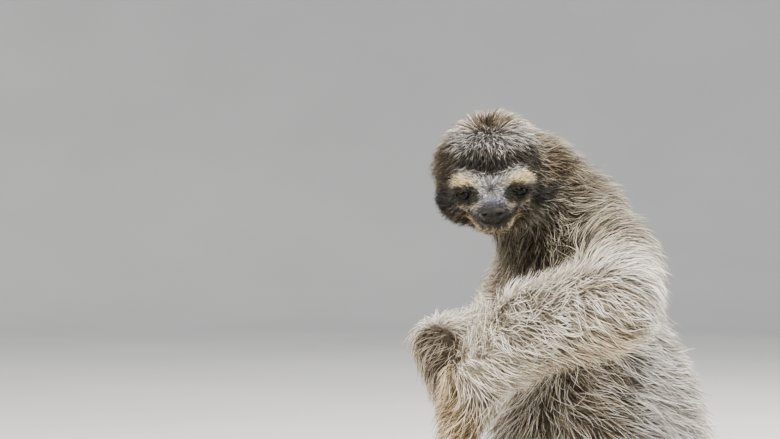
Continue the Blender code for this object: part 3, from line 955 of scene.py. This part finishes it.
def coat_colour(tree):
    return add(tree, "ShaderNodeAttribute", attribute_name="Coat").outputs["Color"]


def tinted(tree, colour, factor):
    """One colour times another."""
    mix = add(tree, "ShaderNodeMix", {6: colour, 7: factor}, data_type="RGBA", blend_type="MULTIPLY")
    mix.inputs[0].default_value = 1.0
    return mix.outputs[2]


def cloud(tree, scale, detail):
    place = add(tree, "ShaderNodeTexCoord").outputs["Object"]
    return add(tree, "ShaderNodeTexNoise", {"Vector": place}, Scale=scale, Detail=detail).outputs["Fac"]


def cells(tree, scale):
    place = add(tree, "ShaderNodeTexCoord").outputs["Object"]
    return add(tree, "ShaderNodeTexVoronoi", {"Vector": place}, Scale=scale).outputs["Distance"]


def between(tree, source, low, high):
    return add(tree, "ShaderNodeMapRange", {"Value": source}, To_Min=low, To_Max=high).outputs["Result"]


def raise_bumps(tree, shader, height, strength, distance):
    bump = add(tree, "ShaderNodeBump", {"Height": height}, Strength=strength, Distance=distance)
    feed(tree, shader, Normal=bump.outputs["Normal"])


def coat_material():
    def build(tree, shader):
        colour = coat_colour(tree)
        fine = cloud(tree, 900.0, 2.0)
        broad = two_tone(tree, cloud(tree, 55.0, 3.0), (0.84, 0.82, 0.79), (1.12, 1.11, 1.09))
        small = two_tone(tree, fine, (0.88, 0.87, 0.85), (1.1, 1.1, 1.1))
        value = add(tree, "ShaderNodeRGBToBW", {"Color": colour}).outputs["Val"]
        rough = add(tree, "ShaderNodeMapRange", {"Value": value}, From_Max=0.4, To_Min=0.85, To_Max=0.45)
        uneven = between(tree, fine, 0.9, 1.1)
        total = add(tree, "ShaderNodeMath", {0: rough.outputs["Result"], 1: uneven}, operation="MULTIPLY")
        colour = tinted(tree, tinted(tree, colour, broad), small)
        feed(tree, shader, Base_Color=colour, Roughness=total.outputs[0])

    return node_material("hair", build, Specular_IOR_Level=0.16)


def skin_material():
    def build(tree, shader):
        fine = cloud(tree, 1400.0, 4.0)
        grain = two_tone(tree, fine, (0.75, 0.74, 0.72), (1.15, 1.15, 1.15))
        feed(tree, shader, Base_Color=tinted(tree, coat_colour(tree), grain))
        total = add(tree, "ShaderNodeMath", {0: fine, 1: cells(tree, 1100.0)}, operation="ADD").outputs[0]
        raise_bumps(tree, shader, total, 0.35, 0.0006)

    return node_material("skin", build, Roughness=0.75, Specular_IOR_Level=0.1)


def nose_material():
    def build(tree, shader):
        mottle = cloud(tree, 260.0, 4.0)
        tone = two_tone(tree, mottle, (0.007, 0.0062, 0.0055), (0.020, 0.0175, 0.015), (0.35, 0.65))
        feed(tree, shader, Base_Color=tone, Roughness=between(tree, mottle, 0.7, 0.85))
        raise_bumps(tree, shader, cells(tree, 1300.0), 0.5, 0.0004)

    return node_material("nose_leather", build, Specular_IOR_Level=0.16)


def eye_material():
    def build(tree, shader):
        ring = add(tree, "ShaderNodeAttribute", attribute_name="Ring").outputs["Fac"]
        fibres = between(tree, cloud(tree, 1500.0, 3.0), -0.05, 0.05)
        at = add(tree, "ShaderNodeMath", {0: ring, 1: fibres}, operation="ADD").outputs[0]
        stops = (
            (0.0, (0.001, 0.001, 0.001)), (0.26, (0.001, 0.001, 0.001)),
            (0.31, (0.006, 0.0045, 0.0035)), (0.55, (0.009, 0.0065, 0.005)),
            (0.70, (0.004, 0.003, 0.0025)), (0.9, (0.006, 0.005, 0.0045)),
        )
        feed(tree, shader, Base_Color=ramp(tree, at, stops))

    return node_material("eye_wet", build, Roughness=0.05, Specular_IOR_Level=0.12)


def claw_material():
    def build(tree, shader):
        place = add(tree, "ShaderNodeTexCoord").outputs["Object"]
        place = add(tree, "ShaderNodeMapping", {"Vector": place}, Scale=(1.0, 1.0, 0.25)).outputs["Vector"]
        streaks = add(tree, "ShaderNodeTexNoise", {"Vector": place}, Scale=420.0, Detail=4.0).outputs["Fac"]
        tone = two_tone(tree, streaks, (0.20, 0.135, 0.075), (0.47, 0.37, 0.25))
        wash = two_tone(tree, cloud(tree, 60.0, 2.0), (0.7, 0.66, 0.6), (1.1, 1.08, 1.05))
        feed(tree, shader, Base_Color=tinted(tree, tone, wash), Roughness=between(tree, streaks, 0.25, 0.45))
        raise_bumps(tree, shader, streaks, 0.4, 0.0004)

    return node_material("claw_horn", build, Specular_IOR_Level=0.55)


def finish_piece(obj, material):
    obj.data.materials.clear()
    obj.data.materials.append(material)
    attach(obj, BODY)


# --- eyes, nose, claws ---


def sphere_grid(name, segments, rings):
    """A unit sphere whose pole looks along the head's front."""
    shape = bmesh.new()
    bmesh.ops.create_uvsphere(shape, u_segments=segments, v_segments=rings, radius=1.0)
    mesh = mesh_from(shape, name)
    return mesh, rows_of(mesh.vertices, "co").astype(float)[:, [0, 2, 1]]


def placed(mesh, local):
    """Writes head-frame points into a mesh whose faces a mirror has turned, and turns them back."""
    mesh.vertices.foreach_set("co", from_head(local).astype(np.float32).ravel())
    shape = bmesh.new()
    shape.from_mesh(mesh)
    bmesh.ops.recalc_face_normals(shape, faces=shape.faces)
    shape.to_mesh(mesh)
    shape.free()
    mesh.shade_smooth()


EYE_RADIUS = 5.6
CORNEA = (3.6, 0.45)  # its radius and how far it stands out
GAZE = (0.05, -0.06)  # to the side and up
NOSE_PAD = np.array([7.5, 4.1, 2.95])  # its half sizes


def make_eye(side, sign):
    mesh, ball = sphere_grid(f"eyeball_{side}", 64, 48)
    gaze = unit(np.array([GAZE[0] + 0.10 * sign, 1.0, GAZE[1]]))
    off_axis = np.degrees(np.arccos(np.clip(ball @ gaze, -1, 1)))
    ring = off_axis / 90
    bulge = CORNEA[1] * ease(off_axis, 42, 22)
    middle = np.array([sign * EYE_AT[0], EYE_AT[1], EYE_AT[2]])
    placed(mesh, middle + ball * (EYE_RADIUS - 0.15 + bulge)[:, None])
    layer = mesh.attributes.new("Ring", "FLOAT", "POINT")
    layer.data.foreach_set("value", ring.astype(np.float32))
    obj = new_object(mesh.name, mesh)
    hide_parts(f"eye_{side}")
    finish_piece(obj, eye_material())


def make_nose():
    mesh, ball = sphere_grid("nose_pad", 72, 48)
    x, front, z = (ball * NOSE_PAD).T
    wide = np.abs(x)
    cushion = 0.9 * hill((wide - 4.6) / 3.2, (z - 0.9) / 2.2) * (front > 0)
    nostril_x, nostril_z = (wide - 4.5) / 1.55, (z + 0.75 + 0.22 * (wide - 4.5)) / 0.85
    pit = 2.6 * hill(nostril_x**2 + nostril_z**2)
    slot = 0.7 * hill(x / 0.45) * ease(z, 1.0, -0.6)
    wing = 0.5 * hill((wide - 6.2) / 0.9, (z + 0.6) / 1.8)
    pad = front + cushion + ease(front, 0.2, 1.4) * (wing - pit - slot)
    z = z * (1 - 0.12 * ease(wide, 5, 8)) + 0.35 * ease(wide, 3, 8)
    placed(mesh, NOSE_AT + columns(x, pad - 0.4, z - 0.4))
    obj = new_object(mesh.name, mesh)
    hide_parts("nose")
    finish_piece(obj, nose_material())


def dress_claws():
    for name, node in NODE_SET.items():
        if name.startswith("claw_"):
            node.modifiers.new("Join", "WELD").merge_threshold = 1e-5
            smooth = node.modifiers.new("Round", "SUBSURF")
            smooth.levels = smooth.render_levels = 2
            node.data.materials.clear()
            node.data.materials.append(claw_material())
            node.data.shade_smooth()


# --- building ---


def corner_uvs(obj):
    """Unwraps the skin and returns its UVs as (triangle, corner, 2)."""
    for other in bpy.context.selected_objects:
        other.select_set(False)
    obj.select_set(True)
    bpy.context.view_layer.objects.active = obj
    obj.data.uv_layers.new(name="OFBake")
    bpy.ops.object.mode_set(mode="EDIT")
    bpy.ops.mesh.select_all(action="SELECT")
    bpy.ops.uv.smart_project(angle_limit=math.radians(66), island_margin=0.002)
    bpy.ops.object.mode_set(mode="OBJECT")
    return rows_of(obj.data.uv_layers["OFBake"].data, "uv", 2).reshape(-1, 3, 2).astype(float)


def build_skin():
    """The skin, inside the flesh nodes by the depth of the coat, with each point's part."""
    shape = joined_flesh()
    refine(shape, near_face(38), 3)
    refine(shape, near_face(27), 3)
    refine(shape, near_feature(10), 2)
    skin = Skin(shape)
    parts = label_parts(skin.points)
    maps, head, _ = coat_maps(skin, parts)
    inset = skin.points - skin.normals * (maps[:, 0] * MM)[:, None]
    inset = blend(inset, skin.smoothed(inset, 12, 0.6), 1 - head)
    skin.write(inset)
    skin.write(sculpt_face(skin.points, head))
    return skin, parts


def part_shares(skin, parts):
    """How much each point belongs to each kind of part, softened across the joints."""
    shares = {}
    for name in ("trunk", "neck", "tail", *ARM, *LEG):
        shares[name] = skin.smoothed(parts_are(parts, name), 8)
    shares["head"] = skin.smoothed(parts_are(parts, "head", "ear"), 4)
    return shares


LID_TONE = (0.010, 0.007, 0.005)


def build_animal():
    skin, parts = build_skin()
    maps, head, zones = coat_maps(skin, parts)
    shares = part_shares(skin, parts)
    light, dark = markings(skin.points, shares)
    bright = 0.10 + 0.38 * np.clip(head * (zones["mask"] * (1 - zones["whorl"]) + zones["tan"]), 0, 1)
    tone = dark * (light / dark) ** bright[:, None]
    tone *= blend(0.75, 1.0, head)[:, None]
    tone = blend(tone, np.array(LID_TONE), head * zones["lid"])
    paint(skin.mesh, tone)
    skin.mesh.shade_smooth()
    body = new_object("skin", skin.mesh)
    uv = corner_uvs(body)
    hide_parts(*FLESH)
    finish_piece(body, skin_material())
    density = maps[:, 3] * 1.0
    floor_side = ease(skin.points[:, 2], 0.004, 0.02) * 0.6 + 0.4
    roots = Roots(skin, density * floor_side, uv)
    groom = Groom(skin, flow_field(skin, parts, head), maps)
    grow_coat(groom, roots, shares)


# Name: (place, size across, power, colour), in metres and watts.
LIGHTS = {
    "key": ((-1.5, -2.0, 2.3), 1.0, 380, (1.0, 0.97, 0.92)),
    "rim": ((1.9, 0.9, 2.0), 1.0, 270, (1.0, 0.97, 0.90)),
    "fill": ((2.2, -2.0, 1.0), 2.0, 85, (0.95, 0.97, 1.0)),
}
LIT_PLACE = (0, 0, 0.25)
SKY = (0.93, 0.96, 1.0, 1.0)
SKY_STRENGTH = 0.68
DISH_RADIUS = 7.5
FLAT_RADIUS = 5.0


def area_light(name, place, size, power, colour):
    light = bpy.data.lights.new(name, "AREA")
    light.shape = "DISK"
    light.size = size
    light.energy = power
    light.color = colour
    obj = new_object(name, light)
    obj.location = place
    obj.rotation_euler = (Vector(LIT_PLACE) - Vector(place)).to_track_quat("-Z", "Y").to_euler()


def build_stage():
    """A wide pale dish, open above, so that no view is blocked."""
    shape = bmesh.new()
    reach = np.linspace(0.02, DISH_RADIUS, 40)
    profile = [Vector((r, 0, 0.9 * max(0.0, (r - FLAT_RADIUS) / 2.0) ** 2)) for r in reach]
    for one, two in zip(profile, profile[1:]):
        shape.edges.new((shape.verts.new(one), shape.verts.new(two)))
    bmesh.ops.remove_doubles(shape, verts=shape.verts, dist=1e-6)
    outline = shape.verts[:] + shape.edges[:]
    bmesh.ops.spin(shape, geom=outline, cent=(0, 0, 0), axis=(0, 0, 1), angle=2 * math.pi, steps=96)
    bmesh.ops.remove_doubles(shape, verts=shape.verts, dist=1e-4)
    bmesh.ops.holes_fill(shape, edges=[e for e in shape.edges if e.is_boundary and e.verts[0].co.length < 1])
    bmesh.ops.recalc_face_normals(shape, faces=shape.faces)
    floor = new_object("floor", mesh_from(shape, "floor"))

    def build(tree, shader):
        tone = two_tone(tree, cloud(tree, 2.0, 3.0), (0.52, 0.517, 0.508), (0.56, 0.556, 0.547))
        feed(tree, shader, Base_Color=tone)

    floor.data.materials.append(node_material("paper", build, Roughness=0.9, Specular_IOR_Level=0.1))
    floor.data.shade_smooth()
    world = bpy.data.worlds.new("studio")
    world.use_nodes = True
    background = world.node_tree.nodes["Background"]
    background.inputs["Color"].default_value = SKY
    background.inputs["Strength"].default_value = SKY_STRENGTH
    bpy.context.scene.world = world
    for name, light in LIGHTS.items():
        area_light(name, *light)


CAMERA_FROM_HEAD = Vector((-0.063, -1.270, -0.029))
LENS = 95.3


def build_camera():
    """A level camera, a little lower than the head."""
    camera = bpy.data.cameras.new("camera")
    camera.lens = LENS
    camera.sensor_width = 36.0
    camera.clip_start, camera.clip_end = 0.05, 50
    obj = new_object("camera", camera)
    obj.location = Vector(HEAD_ORIGIN) + CAMERA_FROM_HEAD
    obj.rotation_euler = (math.pi / 2, 0, 0)
    bpy.context.scene.camera = obj


build_camera()
build_stage()
make_eye("left", 1)
make_eye("right", -1)
make_nose()
dress_claws()
build_animal()
